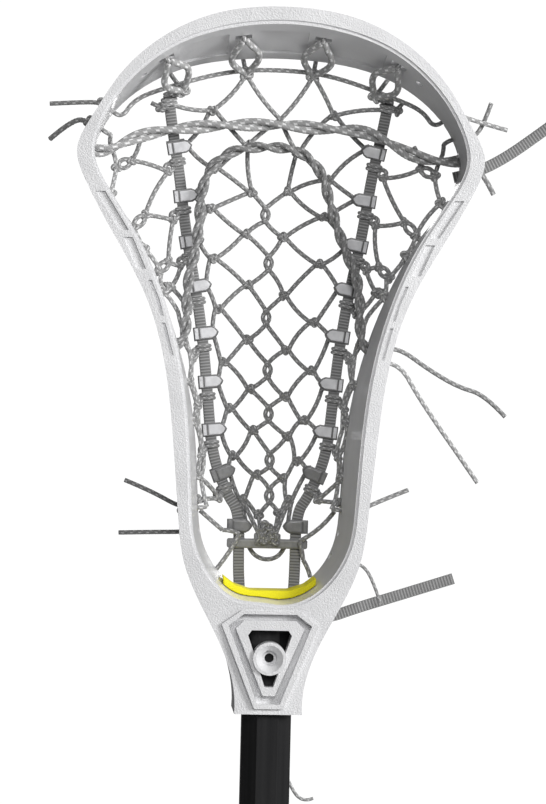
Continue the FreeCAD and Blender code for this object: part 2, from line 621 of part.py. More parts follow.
def pocket_bar():
    """The cross bar at the pocket's foot, with a slot at each end for a thong and two eyelets."""
    corner = head_point(-BAR_LONG / 2, BAR_Y - BAR_THICK / 2, BAR_H - BAR_TALL / 2)
    bar = Part.makeBox(BAR_LONG, BAR_THICK, BAR_TALL, corner)
    bar = bar.makeFillet(BAR_EDGE_R, bar.Edges)
    block_corner = head_point(-BLOCK_LONG / 2, BAR_Y - BAR_THICK / 2, BAR_H - BLOCK_DROP)
    block = Part.makeBox(BLOCK_LONG, BAR_THICK, BLOCK_TALL, block_corner)
    block = block.makeFillet(BLOCK_EDGE_R, block.Edges)
    bar = bar.fuse(block)
    slot_wide = THONG_WIDE + 2 * BAR_SLOT_GAP
    slot_thick = THONG_THICK + 2 * BAR_SLOT_GAP
    for side in (-1, 1):
        slot = Part.makeBox(slot_wide, slot_thick, 2 * BAR_TALL)
        slot.translate(head_point(side * BAR_X - slot_wide / 2, BAR_Y - slot_thick / 2, BAR_H - BAR_TALL))
        bar = bar.cut(slot)
        eyelet_start = head_point(side * EYELET_X, BAR_Y - BAR_THICK, BAR_H + EYELET_RISE)
        bar = bar.cut(rod(EYELET_R, eyelet_start, BACKWARD, 2 * BAR_THICK))
    return bar


# ---- strings ----


def net_points(places, forward=0.0):
    return [on_pocket(x, h, forward) for x, h in places]


def shifted(places, step):
    return [(x + step, h) for x, h in places]


def laced(first, second):
    """Places taken in turn from two lists."""
    woven = []
    for n in range(max(len(first), len(second))):
        woven += first[n:n + 1] + second[n:n + 1]
    return woven


def clip_noses(side):
    """Where a crosslace turns at each clip, just off the clip's nose."""
    reach = CLIP_LONG - CLIP_OUTER_END + CORD_R + NET_GAP
    low_reach = CLIP_LONG - LOW_CLIP_OUTER_END + CORD_R + 3 * NET_GAP
    noses = []
    for middle, axes, outer_end in clip_places(side):
        step = reach if outer_end == CLIP_OUTER_END else low_reach
        noses.append(middle + axes[0] * step)
    return noses


def crosslaces(side, outer, inner, name):
    """Three cords of one half of the pocket: clips to outer knots, outer to inner, inner to the middle."""
    away = side * KNOT_SPREAD
    outer_points = net_points(shifted(outer, away))
    beside_clips = laced(outer_points, clip_noses(side))
    round_cord(f"crosslace_outer_{name}", beside_clips, CORD_R, KNOT_TURN)
    middle_lace = laced(shifted(outer, -away), shifted(inner, away))
    round_cord(f"crosslace_middle_{name}", net_points(middle_lace), CORD_R, KNOT_TURN)
    centre_lace = [inner[0]] + laced(inner[1:], shifted(CENTRE, away * CENTRE_SPREAD))
    centre_lace = shifted(centre_lace[:1], -away) + centre_lace[1:]
    steps = [-away if place in inner else 0.0 for place in centre_lace]
    centre_lace = [(x + step, h) for (x, h), step in zip(centre_lace, steps)]
    round_cord(f"crosslace_inner_{name}", net_points(centre_lace), CORD_R, KNOT_TURN)


def upper_laces():
    """The V of cord from each inner scoop tie down to the first knots of the net."""
    for name, (places, forward) in UPPER_LACES.items():
        round_cord(f"upper_lace_{name}", net_points(places, forward), CORD_R, KNOT_TURN)


def scoop_ties():
    """Four cord loops, each through a slot in the scoop and over the back edge of its wall."""
    loops = []
    for x, h, lean in SCOOP_SLOTS:
        angle = math.radians(lean)
        out = Vector(math.sin(angle), 0, math.cos(angle))
        base = head_point(x, 0, h)
        points = [base + Vector(0, y, 0) + out * rise for y, rise in TIE_LOOP]
        loops.append(tube(points, CORD_R, TIE_TURN)[0])
    return Part.makeCompound(loops)


def strings():
    """The cords that run from wall to wall or down a sidewall, each into its holes."""
    top = in_hole(-1, TOP_HOLE, HOLE_END, -HOLE_LEAD) + net_points(TOP_STRING)
    round_cord("top_string", top + in_hole(1, TOP_HOLE, -HOLE_LEAD, HOLE_END), CORD_R)
    high, low = SHOOTING_HOLES
    half = SHOOTING_APART / 2
    upper_places = [(x, h + half) for x, h in SHOOTING]
    lower_places = [(x, h - half) for x, h in SHOOTING]
    upper = in_hole(-1, high, HOLE_END, -HOLE_LEAD) + net_points(upper_places, SHOOTING_FORWARD)
    round_cord("shooting_string_upper", upper + in_hole(1, high, -HOLE_LEAD, HOLE_END), THICK_CORD_R)
    lower = in_hole(-1, low, HOLE_END, -HOLE_LEAD) + net_points(lower_places, SHOOTING_FORWARD)
    lower += in_hole(1, low, -HOLE_LEAD, TAIL_LEAD) + [head_point(*place) for place in SHORT_END]
    round_cord("shooting_string_lower", lower, THICK_CORD_R)
    for name, (number, forward, lead) in ARCH_CORDS.items():
        hole = ARCH_HOLES[number]
        arch = in_hole(-1, hole, HOLE_END, -lead) + net_points(ARCH, forward)
        round_cord(f"pocket_arch_{name}", arch + in_hole(1, hole, -lead, HOLE_END), THICK_CORD_R)
    for side, name in ((-1, "left"), (1, "right")):
        holes = iter(TURN_HOLES)
        behind_x, behind_y, behind_h = BEHIND_SHOOTING
        points = in_hole(side, SIDE_HOLE, HOLE_END, -HOLE_LEAD)
        points.append(head_point(side * behind_x, behind_y, behind_h))
        for place in SIDE_TURNS:
            if place is None:
                points += in_hole(side, next(holes), -CORD_R - NET_GAP)
            else:
                points.append(on_pocket(side * place[0], place[1]))
        points += in_hole(side, LOW_HOLES[1], -HOLE_LEAD, HOLE_END)
        round_cord(f"side_string_{name}", points, CORD_R, KNOT_TURN)
        lace = [on_pocket(-side * x, h, LACE_FORWARD) for x, h in SIDE_LACE]
        round_cord(f"side_lace_{name}", lace, CORD_R, KNOT_TURN)


def tails():
    """The cords' free ends outside the head."""
    for name, (radius, side, hole, places) in TAIL_ROUTES.items():
        points = in_hole(side, hole, TAIL_START, TAIL_LEAD) + [head_point(*place) for place in places]
        round_cord(name, points, radius)
    round_cord("tie_cord_tail", [head_point(*place) for place in TIE_CORD_TAIL], THIN_CORD_R)
    for name, places in FLAT_TAIL_ROUTES.items():
        points = [head_point(*place) for place in places]
        save_cord(name, strip(points, THONG_WIDE, THONG_THICK, BACKWARD), THONG_WIDE * THONG_THICK)


def bar_tie():
    """The cord loop tied under the bar's middle."""
    return [head_point(x, BAR_Y + BAR_THICK / 2 + CORD_R + NET_GAP, h) for x, h in BAR_TIE]


def build():
    save("shaft", shaft())
    save("end_cap", end_cap())
    save("head_screw", head_screw())
    save("head_frame", head_frame())
    save("ball_stop_pad", ball_stop_pad())
    save("pocket_bar", pocket_bar())
    for side, name in ((-1, "left"), (1, "right")):
        thong = strip(thong_points(side), THONG_WIDE, THONG_THICK, BACKWARD)
        save_cord(f"runner_thong_{name}", thong, THONG_WIDE * THONG_THICK)
        for number, place in enumerate(clip_places(side), 1):
            save(f"runner_clip_{name}_{number}", runner_clip(*place))
    crosslaces(-1, OUTER_LEFT, INNER_LEFT, "left")
    crosslaces(1, OUTER_RIGHT, INNER_RIGHT, "right")
    upper_laces()
    strings()
    save("scoop_ties", scoop_ties())
    round_cord("bar_tie", bar_tie(), CORD_R)
    tails()


build()
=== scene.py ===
"""The looks of a women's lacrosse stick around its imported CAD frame, in metres.

+Z runs up the shaft to the scoop, -Y is the ball side, and +X is the catcher's right. Places on the head
are given in millimetres as x and h, where h is the height above the bottom edge of the head's socket.
"""

import math
import random

import bmesh
import bpy
import numpy
from mathutils import Matrix, Vector


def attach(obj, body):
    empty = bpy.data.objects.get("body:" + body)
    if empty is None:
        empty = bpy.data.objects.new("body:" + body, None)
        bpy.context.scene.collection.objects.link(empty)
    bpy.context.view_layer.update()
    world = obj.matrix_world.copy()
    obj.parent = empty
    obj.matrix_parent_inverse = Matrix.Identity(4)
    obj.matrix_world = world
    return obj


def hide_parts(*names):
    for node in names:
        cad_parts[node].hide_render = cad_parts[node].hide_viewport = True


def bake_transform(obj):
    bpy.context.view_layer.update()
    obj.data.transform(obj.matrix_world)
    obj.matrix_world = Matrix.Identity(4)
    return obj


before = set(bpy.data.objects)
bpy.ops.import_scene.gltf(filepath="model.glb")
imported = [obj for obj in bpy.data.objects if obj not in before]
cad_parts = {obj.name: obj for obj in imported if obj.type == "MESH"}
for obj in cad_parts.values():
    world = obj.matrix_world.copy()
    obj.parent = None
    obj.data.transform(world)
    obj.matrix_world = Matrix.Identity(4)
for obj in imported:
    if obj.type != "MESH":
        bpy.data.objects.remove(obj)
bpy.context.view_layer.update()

MM = 0.001
HEAD_BASE = 720.0
STICK = "stick"
BAR = "pocket_bar"
DICE = random.Random(7)

# Camera: how far in front of the rim, its height, the x it aims at, its swing, its roll and its view angle
CAMERA_DISTANCE = 1.25
CAMERA_HEIGHT = 0.880
CAMERA_AIM_X = -0.0018
CAMERA_SWING = math.radians(3.5)
CAMERA_ROLL = math.radians(1.36)
CAMERA_VIEW = math.radians(18.56)
RIM_Y = -0.026
SENSOR = 36.0
LIGHT_AIM = (0, 0, 0.9)
FLOOR_R = 1.1
FLOOR_DROP = 0.0005
WORLD_LIGHT = 0.10
BACKDROP = 1.05

# Lights: where each stands, its size in metres and its power in watts
LIGHTS = (("key", (1.75, -1.15, 1.35), 0.7, 42), ("front", (0.2, -2.1, 1.85), 0.9, 22),
          ("back", (0.7, 1.8, 1.6), 1.2, 14))

# Cords, in millimetres
CORD_R = 1.2
THICK_CORD_R = 1.35
PAIR_R = 1.75  # the shooting pair, pressed together
THIN_CORD_R = 0.9
KNOT_SPREAD = 1.45
EYE_TALL = 3.4  # half the height of an eye in the middle of the net
EYE_WIDE = 1.7
BRAID_STEP = 0.0005  # the length of one ring of a cord's skin, in metres
KNOT_REACH = 0.72
KNOT_THIN = 0.82  # a knot's cord, pulled tight, as a share of its own radius
KNOT_TURNS = 40
NET_GAP = 0.4
HOLE_Y = 14.0
HOLE_END = 1.0
HOLE_LEAD = 5.0
TAIL_START = 1.6
TAIL_LEAD = 8.0
SHOOTING_FORWARD = 5.0
ARCH_FORWARD = 8.3
SHOOTING_PITCH = 58.0
ARCH_PITCH = 25.0

# Thongs, clips and bar
THONG_WIDE = 6.0
THONG_THICK = 2.0
RIB_PITCH = 1.6
RIB_STEP = 0.0004
BAR_Y = 26.0
BAR_X = 15.0
BAR_THICK = 5.0
EYELET_X = 3.2
EYELET_H = 87.4
BAR_LOOP = ((-10.5, 86), (-8.5, 79.5), (0, 75.5), (8.5, 79), (10.5, 86))  # its ends tucked behind the bar
BAR_CLUSTER = ((-3.2, 91, 1.1), (-0.8, 94, 1.4), (2.4, 91.5, 1.1), (-1.5, 88, 1.1))
CLIP_LONG = 13.4
CLIP_TALL = 7.2
CLIP_THICK = 4.8
CLIP_OUTER_END = 4.4
LOW_CLIP_OUTER_END = 6.4
LOW_CLIP_H = 94.2
CLIP_BEVEL = 0.9
COLLAR_LONG = 3.1
COLLAR_TALL = 0.98
COLLAR_BEVEL = 0.7
FACE_DEEP = 0.9
FACE_BEVEL = 0.35
NOSE_LONG = 3.6
# The curve of a clip's nose and of its raised face, as (how far past the shoulder, share of the half-height)
NOSE = ((0.0, 1.0), (1.7, 0.74), (2.9, 0.36))
FACE_NOSE = ((0.0, 0.72), (1.5, 0.5))
FACE_SHORT = 1.3
PIN_IN = 1.6
PIN_UP = 1.2
NOSE_BACK = 3.0  # from a clip's tip to the lace behind it
PAD_VOXEL = 0.0005
PAD_SMOOTHING = 14
SLACK = 0.14  # how far a length of cord bows, as a share of its length
FIRST_DARK_CLIP = 8

# The pocket's surface and the head's inner outlines, as in the CAD
FRONT_Y = -28.0
BACK_Y = 20.0
RAIL_Y = 17.0
SCOOP_EDGE_Y = 11.0
POCKET_SAG = 24.0
POCKET_LOW = 70.0
POCKET_HIGH = 335.0
SCOOP_TURN_H = 285.0
INNER_FRONT = [(0, 55.5), (18, 58), (34, 73), (40.5, 88), (42.4, 105), (44.3, 140), (49.5, 180),
               (58, 211), (71.6, 242), (88, 268), (95, 285), (92.5, 298), (86, 311), (72, 328),
               (54, 341), (28, 350), (0, 353)]
INNER_BACK = [(0, 61), (15, 63), (29, 75), (35, 88), (37.2, 105), (39.5, 140), (46.5, 179), (56.5, 209),
              (71.5, 240), (89, 267), (96.5, 284), (93.5, 297.5), (85.5, 309.5), (69.5, 322), (50, 330),
              (26, 334), (0, 335)]
TOP_HOLE = 309
SIDE_HOLE = 300
SHOOTING_HOLES = (292, 286)
ARCH_HOLES = (192, 185.5)
LOW_HOLES = (104, 92, 80)
TURN_HOLES = (266, 238, 216)

# Routes on the pocket, as (x, h)
THONG_ROUTE = [(-57.8, 319), (-56, 306), (-51, 280), (-47.8, 255.5), (-43.5, 232), (-38.8, 208),
               (-35.3, 182.5), (-32.8, 157), (-30.3, 132), (-22, 111)]
THONG_STRAIGHT = (101.5, 73)
THONG_BEHIND = [(0.6, 22.5, 63), (1.0, 20.2, 54), (1.0, 19.9, 40)]  # as (x in from BAR_X, y, h)
OUTER_LEFT = [(-34.5, 312.5), (-32, 283), (-34, 262), (-32, 235.5), (-28.5, 209), (-25, 180.5), (-21, 156),
              (-18.5, 131), (-13.5, 108)]
INNER_LEFT = [(-15, 295.5), (-12, 271), (-14.5, 249), (-12.5, 222), (-12, 193), (-10, 166.5), (-8, 144.5),
              (-6, 121), (-4.5, 100)]
OUTER_RIGHT = [(29.5, 311.5), (28, 278.5), (26.5, 259), (25, 234), (22.5, 203), (22, 177), (18.5, 150.5),
               (15.5, 129), (11.5, 108)]
INNER_RIGHT = [(11, 292.5), (7, 272), (5, 248), (6.5, 217), (8.5, 188), (8.5, 163), (10, 142), (8, 119.5),
               (6.0, 101)]
CENTRE = [(-4.5, 259.5), (-2, 234), (-2.5, 205), (-1, 177), (0, 153.5), (1, 129), (1, 110)]
TOP_STRING = [(-76, 316), (-61, 322.5), (-27, 332.5), (0, 334), (27, 332), (61, 321), (76, 315)]
SHOOTING = [(-76, 296.5), (-57, 301.5), (-26, 305), (5, 306), (26, 304), (44, 304), (57, 299), (73, 290.5)]
ARCH = [(-46, 222), (-41, 240), (-40, 260), (-37.5, 280), (-25.5, 291.5), (-7, 294.5), (12, 293), (24, 283),
        (30, 262), (37, 242), (46, 222)]
SIDE_TURNS = [(84, 281.5), None, (74.5, 249.5), None, (59.5, 226), None, (50, 206), (47.5, 197), (44, 187),
              (42.5, 172), (38.5, 160), (38, 146), (35.5, 134), (36, 120)]
BEHIND_SHOOTING = (87.5, 18.8, 292.5)
SCOOP_SLOTS = [(-59.5, 334, -36), (-20.5, 346.5, -11), (20.5, 346.5, 11), (59.5, 334, 36)]
# A tie, as (y, rise from its slot, sideways): each of its two strands inside the wall, then its part over it
TIE_STRAND = [(-14.2, -2.0, 0.8), (-10, -5.0, 4.0), (-3, -8.5, 8.0), (6, -12.5, 5.5), (12, -15.5, 0.0)]
TIE_OVER = [(-13.8, -2.5, 0), (-14.6, 8.5, 0), (-4, 10.5, 0), (7, 6.5, 0), (15.5, 1.5, 0), (18.5, -6, 0),
            (12, -15.5, 0)]
TIE_R = 1.75
TIE_FOOT_Y = 12.0
TIE_FOOT_DROP = 15.5

UPPER_CROSSING = (1.5, 309)  # where the two upper laces cross
# The short knotted end beside each thong's top, as (x, h) from the thong at STUB_H
STUBS = ((-1, [(0, 0), (-5, 0.5), (-10, 3)]), (1, [(0, 2), (6, 2.5), (8.5, 7)]))
STUB_H = 312
THONG_TIE_H = 316
THONG_LACE_H = 315
THONG_TIE_X = 40  # the scoop ties further out than this hold a thong
TIE_APART = 2.4  # half the gap between a thong tie's two cords at the thong
TIE_CLOSER = 0.6  # and the share of it at the tie's foot

# The lacing beside a thong, clip by clip from the top: each joint's share of the way from the thong to the
# wall and how far it lies under its clip. Then the side cord's knots that hold the first four, as (x, h)
JOINTS = [(0.55, 8), (0.6, 11), (0.5, 11), (0.65, 1), (0.7, 4), (0.8, 0), (0.85, -5), (0.95, 1)]
SIDE_KNOTS = [(84, 281.5), (74.5, 249.5), (61, 227), (57, 218.5)]
LAST_JOINT = (0.95, 108)
WRAP_DROP = 7.6  # from a clip's middle down to the wrap under it
LOOP_DROP = 13.0  # and down to where the wrap's two ends meet
LOOP_OUT = 6.0
LENS = 2.2
WRAP_R = 0.95
WALL_LIGHT = 1.05
SHOOTING_TIE = (72, 296)
LOW_STRING_Y = 21.4
LOW_STRINGS = {"left": [(-36, 102), (-24, 92), (-15, 90), (-27, 71)],
               "right": [(35, 103), (17, 87), (19, 77), (23, 68)]}

# Free ends: radius, side and height of the hole, route as (x, y, h), and the real length
TAILS = {
    "top_string_tail_left": (CORD_R, -1, TOP_HOLE, [(-104, 14, 314), (-119.5, 12, 312.5)], 33.9),
    "top_string_tail_right": (CORD_R, 1, TOP_HOLE, [(106, 15, 310), (121, 13, 306)], 36.2),
    "side_string_tail_left": (THICK_CORD_R, -1, SIDE_HOLE, [(-107, 18, 306), (-119, 11, 294)], 32.8),
    "side_string_tail_right": (CORD_R, 1, SIDE_HOLE, [(107, 20, 302.5), (112, 13, 320)], 33.5),
    "arch_tail_upper": (CORD_R, 1, ARCH_HOLES[0], [(68, 15, 189), (82, 13, 179), (98, 12, 170),
                                                   (112, 12, 166.5), (123, 11, 155)], 81.1),
    "arch_tail_lower": (CORD_R, 1, ARCH_HOLES[1], [(68, 14, 180), (76, 12, 166), (87, 10, 150),
                                                   (99, 11, 134), (109, 10, 120)], 90.6),
    "low_string_tail_left": (CORD_R, -1, LOW_HOLES[0], [(-62, 15, 112), (-76, 13, 117.5)], 39.9),
    "lace_tail_left": (CORD_R, -1, LOW_HOLES[1], [(-62, 15, 90.5), (-78.5, 13, 90)], 40.9),
    "low_string_tail_right": (CORD_R, 1, LOW_HOLES[0], [(60, 15, 110), (73, 13, 115.5)], 36.4),
    "lace_tail_right": (THIN_CORD_R, 1, LOW_HOLES[2], [(51, 15, 76), (58, 13, 61), (59.5, 12, 55)], 39.9),
}
TIE_CORD_TAIL = [(4, 20, 44), (5.5, 22, 22), (6, 23, -2), (9, 22, -24), (14, 19, -41), (21, 17, -50.5),
                 (27, 17, -48)]
SHORT_END = [(110, 15, 281), (114.5, 14, 272)]
FLAT_TAILS = {
    "shooting_thong_tail": ([(94, 21.5, 281), (106, 21, 284), (121, 19, 292), (136, 16, 303),
                             (149, 13, 313)], 64.9),
    "runner_thong_tail": ([(20, 21.5, 46), (32, 24, 46), (48, 24, 52), (72, 21, 60), (98.5, 18, 69)], 82.8),
}


# ---- places ----


def between(table, h):
    """The half-width at height h, from an outline's points."""
    for (wide, low), (next_wide, high) in zip(table, table[1:]):
        if low <= h <= high:
            return wide + (next_wide - wide) * (h - low) / (high - low)
    return 0.0


def pocket_y(x, h):
    """How far back the pocket's surface lies."""
    turned = min(max((h - SCOOP_TURN_H) / (POCKET_HIGH - SCOOP_TURN_H), 0.0), 1.0)
    edge = RAIL_Y + (SCOOP_EDGE_Y - RAIL_Y) * turned
    along = min(max((h - POCKET_LOW) / (POCKET_HIGH - POCKET_LOW), 0.0), 1.0)
    hang = math.sin(math.pi * along**0.8) ** 0.8 if 0.0 < along < 1.0 else 0.0
    across = max(0.0, 1.0 - (x / max(between(INNER_BACK, h), 1.0)) ** 2)
    return edge + POCKET_SAG * hang * across


def head_point(x, y, h):
    return Vector((x, y, HEAD_BASE + h)) * MM


def on_pocket(x, h, forward=0.0):
    return head_point(x, pocket_y(x, h) - forward, h)


def net_points(places, forward=0.0):
    return [on_pocket(x, h, forward) for x, h in places]


def wall_x(h, y):
    """The half-width of the sidewall's inner face."""
    share = (y - FRONT_Y) / (BACK_Y - FRONT_Y)
    return between(INNER_FRONT, h) * (1 - share) + between(INNER_BACK, h) * share


def in_hole(side, h, *depths):
    """Points along a string hole, from inside the head outward."""
    rise = wall_x(h + 4, HOLE_Y) - wall_x(h - 4, HOLE_Y)
    out = Vector((side * 8.0, 0, -rise)).normalized()
    middle = head_point(side * wall_x(h, HOLE_Y), HOLE_Y, h)
    return [middle + out * depth * MM for depth in depths]


def shifted(places, step):
    return [(x + step, h) for x, h in places]


def laced(first, second):
    """Places taken in turn from two lists."""
    taken = []
    for n in range(max(len(first), len(second))):
        taken += first[n:n + 1] + second[n:n + 1]
    return taken


# ---- materials ----


def material(name, colour, roughness, metallic=0.0, coat=0.0):
    """A principled material and its shader."""
    made = bpy.data.materials.new(name)
    made.use_nodes = True
    shader = made.node_tree.nodes["Principled BSDF"]
    shader.inputs["Base Color"].default_value = (*colour, 1)
    shader.inputs["Roughness"].default_value = roughness
    shader.inputs["Metallic"].default_value = metallic
    shader.inputs["Coat Weight"].default_value = coat
    return made, shader


def noise(made, scale, detail=3.0, stretch=(1, 1, 1)):
    """A noise texture in the object's own space."""
    nodes, links = made.node_tree.nodes, made.node_tree.links
    place = nodes.new("ShaderNodeTexCoord")
    mapping = nodes.new("ShaderNodeMapping")
    mapping.inputs["Scale"].default_value = stretch
    texture = nodes.new("ShaderNodeTexNoise")
    texture.inputs["Scale"].default_value = scale
    texture.inputs["Detail"].default_value = detail
    links.new(place.outputs["Object"], mapping.inputs["Vector"])
    links.new(mapping.outputs["Vector"], texture.inputs["Vector"])
    return texture.outputs["Fac"]


def bumped(made, shader, height, strength, distance):
    nodes, links = made.node_tree.nodes, made.node_tree.links
    bump = nodes.new("ShaderNodeBump")
    bump.inputs["Strength"].default_value = strength
    bump.inputs["Distance"].default_value = distance
    links.new(height, bump.inputs["Height"])
    links.new(bump.outputs["Normal"], shader.inputs["Normal"])
    return bump


def ramp(made, value, low, high):
    """Colours from low to high as the value rises."""
    node = made.node_tree.nodes.new("ShaderNodeValToRGB")
    node.color_ramp.elements[0].position = 0.3
    node.color_ramp.elements[1].position = 0.7
    node.color_ramp.elements[0].color = (*low, 1)
    node.color_ramp.elements[1].color = (*high, 1)
    made.node_tree.links.new(value, node.inputs["Fac"])
    return node.outputs["Color"]


def head_plastic():
    """Satin white plastic, pebbled where it faces forward and smooth on its inner walls."""
    made, shader = material("head_plastic", (0.74, 0.74, 0.75), 0.28, coat=0.35)
    nodes, links = made.node_tree.nodes, made.node_tree.links
    tone = ramp(made, noise(made, 60), (0.70, 0.70, 0.71), (0.77, 0.77, 0.78))
    links.new(tone, shader.inputs["Base Color"])
    facing = nodes.new("ShaderNodeSeparateXYZ")
    links.new(nodes.new("ShaderNodeNewGeometry").outputs["True Normal"], facing.inputs["Vector"])
    forward = nodes.new("ShaderNodeMath")
    forward.operation = "LESS_THAN"
    forward.inputs[1].default_value = -0.45
    links.new(facing.outputs["Y"], forward.inputs[0])
    bump = bumped(made, shader, noise(made, 1300, 2), 0.5, 0.0004)
    links.new(forward.outputs["Value"], bump.inputs["Strength"])
    return made


def shaft_metal():
    """Satin black anodised aluminium with fine drawn lines along the shaft."""
    made, shader = material("shaft_metal", (0.014, 0.014, 0.015), 0.45, metallic=0.4)
    grain = noise(made, 500, 4, (1, 1, 0.02))
    made.node_tree.links.new(ramp(made, grain, (0.009, 0.009, 0.010), (0.021, 0.021, 0.022)),
                             shader.inputs["Base Color"])
    bumped(made, shader, grain, 0.15, 0.00005)
    return made


def grained(name, low, high, roughness, scale, depth, metallic=0.0, coat=0.0):
    """A material whose tone and surface both vary with one noise."""
    made, shader = material(name, high, roughness, metallic, coat)
    grain = noise(made, scale)
    made.node_tree.links.new(ramp(made, grain, low, high), shader.inputs["Base Color"])
    bumped(made, shader, grain, 0.4, depth)
    return made


def woven(name, roughness):
    """Cloth whose tone, including painted shade in its grooves, was worked out strand by strand and is kept
    on the mesh.
    """
    made, shader = material(name, (0.3, 0.3, 0.3), roughness)
    nodes, links = made.node_tree.nodes, made.node_tree.links
    tone = nodes.new("ShaderNodeAttribute")
    tone.attribute_name = "tone"
    fuzz = ramp(made, noise(made, 2600, 2), (0.8, 0.8, 0.8), (1, 1, 1))
    mix = nodes.new("ShaderNodeMix")
    mix.data_type = "RGBA"
    mix.blend_type = "MULTIPLY"
    mix.inputs["Factor"].default_value = 0.6
    links.new(tone.outputs["Color"], mix.inputs["A"])
    links.new(fuzz, mix.inputs["B"])
    links.new(mix.outputs["Result"], shader.inputs["Base Color"])
    shader.inputs["Sheen Weight"].default_value = 0.25
    return made


HEAD = head_plastic()
SHAFT = shaft_metal()
RUBBER = grained("cap_rubber", (0.018, 0.018, 0.018), (0.04, 0.04, 0.04), 0.75, 900, 0.0002)
STEEL = grained("screw_steel", (0.30, 0.30, 0.31), (0.42, 0.42, 0.43), 0.3, 1500, 0.00003, 1.0)
FOAM = grained("pad_foam", (0.78, 0.70, 0.002), (0.90, 0.82, 0.006), 0.75, 1800, 0.0002)
CLIP = grained("clip_plastic", (0.62, 0.62, 0.635), (0.76, 0.76, 0.775), 0.24, 240, 0.00004, coat=0.3)
# The clips' bodies and outer collars: the pale clip plastic painted dark as shade round each clip's lit
# face.
CLIP_PAINTED_SHADE = grained("clip_painted_shade", (0.13, 0.13, 0.132), (0.18, 0.18, 0.182), 0.35, 240, 0.00004)
CLIP_DARK = grained("clip_dark", (0.20, 0.20, 0.202), (0.28, 0.28, 0.282), 0.3, 240, 0.00004, coat=0.2)
BAR_LOOK = grained("bar_plastic", (0.24, 0.24, 0.24), (0.33, 0.33, 0.33), 0.4, 400, 0.00006)
CORD = woven("cord_braid", 0.8)
WEBBING = woven("thong_webbing", 0.75)


# ---- tubes and strips ----


def spline(points, name="line"):
    """The route's smooth line: a NURBS spline with these control points, read back as close points."""
    curve = bpy.data.curves.new(name, "CURVE")
    curve.dimensions = "3D"
    curve.resolution_u = 10
    line = curve.splines.new("NURBS")
    line.points.add(len(points) - 1)
    for control, place in zip(line.points, points):
        control.co = (*place, 1)
    line.order_u = 3
    line.use_endpoint_u = True
    holder = bpy.data.objects.new(name, curve)
    mesh = bpy.data.meshes.new_from_object(holder)
    places = [v.co.copy() for v in mesh.vertices]
    bpy.data.meshes.remove(mesh)
    bpy.data.objects.remove(holder)
    bpy.data.curves.remove(curve)
    return places


def evenly(places, step):
    """Points a step apart along a line, and how far along it each one is."""
    line = numpy.array([tuple(p) for p in places])
    run = numpy.concatenate([[0], numpy.cumsum(numpy.linalg.norm(numpy.diff(line, axis=0), axis=1))])
    count = max(int(run[-1] / step), 3)
    far = numpy.linspace(0, run[-1], count + 1)
    return numpy.stack([numpy.interp(far, run, line[:, k]) for k in range(3)], axis=1), far


def unit(rows):
    return rows / numpy.maximum(numpy.linalg.norm(rows, axis=1, keepdims=True), 1e-12)


def turning_frames(line):
    """Two directions square to a line at each point, turned as little as possible."""
    along = unit(numpy.gradient(line, axis=0))
    first = numpy.cross(along[0], [0.3, 1.0, 0.2])
    sides = [first / numpy.linalg.norm(first)]
    for tangent in along[1:]:
        side = sides[-1] - tangent * numpy.dot(sides[-1], tangent)
        sides.append(side / numpy.linalg.norm(side))
    sides = numpy.array(sides)
    return sides, numpy.cross(along, sides)


def flat_frames(line):
    """Across a flat strip and square to its face, its face kept to the front."""
    along = unit(numpy.gradient(line, axis=0))
    sides = unit(numpy.cross(along, numpy.array([[0.0, 1.0, 0.0]])))
    return sides, numpy.cross(sides, along)


def skin(rings, tones):
    """The vertices, faces and tones of a tube over rows of rings."""
    count, around = rings.shape[:2]
    faces = []
    for n in range(count - 1):
        here, there = n * around, (n + 1) * around
        faces += [(here + k, here + (k + 1) % around, there + (k + 1) % around, there + k)
                  for k in range(around)]
    faces += [tuple(reversed(range(around))), tuple((count - 1) * around + k for k in range(around))]
    return rings.reshape(-1, 3), faces, tones.reshape(-1)


def braided(places, radius, light=1.0):
    """A braided cord's skin: strands that cross in herringbone, painted darker where they dip as painted
    shade between them, with pale flecks.
    """
    line, far = evenly(places, BRAID_STEP)
    first, second = turning_frames(line)
    around = 12
    angle = numpy.arange(around) * 2 * math.pi / around
    strand = 6 * angle[None, :] / (2 * math.pi)
    pick = far[:, None] / (radius * 1.25)
    right, left = strand + pick, strand - pick
    over = (numpy.floor(right) + numpy.floor(left)) % 2 == 0
    height = numpy.where(over, numpy.abs(numpy.sin(math.pi * right)), numpy.abs(numpy.sin(math.pi * left)))
    reach = radius * (0.93 + 0.10 * height)
    rings = (line[:, None, :] + first[:, None, :] * (numpy.cos(angle)[None, :] * reach)[..., None]
             + second[:, None, :] * (numpy.sin(angle)[None, :] * reach)[..., None])
    fleck = over & (numpy.floor(right) % 3 == 0)
    # The tone is painted darker where a strand dips between its neighbours, as painted shade in the braid's
    # grooves; the pale flecks are the cord's own.
    tones = light * (0.17 + 0.10 * height) + numpy.where(fleck, 0.38 * light, 0.0)
    return skin(rings, tones)


def ribbed(places):
    """A flat woven thong's skin, ribbed crosswise, its rib crests painted lighter and its grooves darker as
    painted light and shade.
    """
    line, far = evenly(places, RIB_STEP)
    across, out = flat_frames(line)
    around = 16
    angle = numpy.arange(around) * 2 * math.pi / around
    wide = numpy.sign(numpy.cos(angle)) * numpy.abs(numpy.cos(angle)) ** 0.45 * THONG_WIDE / 2 * MM
    thick = numpy.sign(numpy.sin(angle)) * numpy.abs(numpy.sin(angle)) ** 0.7 * THONG_THICK / 2 * MM
    rib = 0.5 + 0.5 * numpy.cos(2 * math.pi * far / (RIB_PITCH * MM))
    swell = (0.80 + 0.20 * rib)[:, None]
    spread = 0.96 + 0.04 * rib[:, None]
    rings = (line[:, None, :] + across[:, None, :] * (wide[None, :] * spread)[..., None]
             + out[:, None, :] * (thick[None, :] * swell)[..., None])
    # The tone follows the rib: a painted highlight on each crest and painted shade in each groove.
    tones = numpy.repeat((0.16 + 0.26 * rib ** 3)[:, None], around, axis=1)
    return skin(rings, tones)


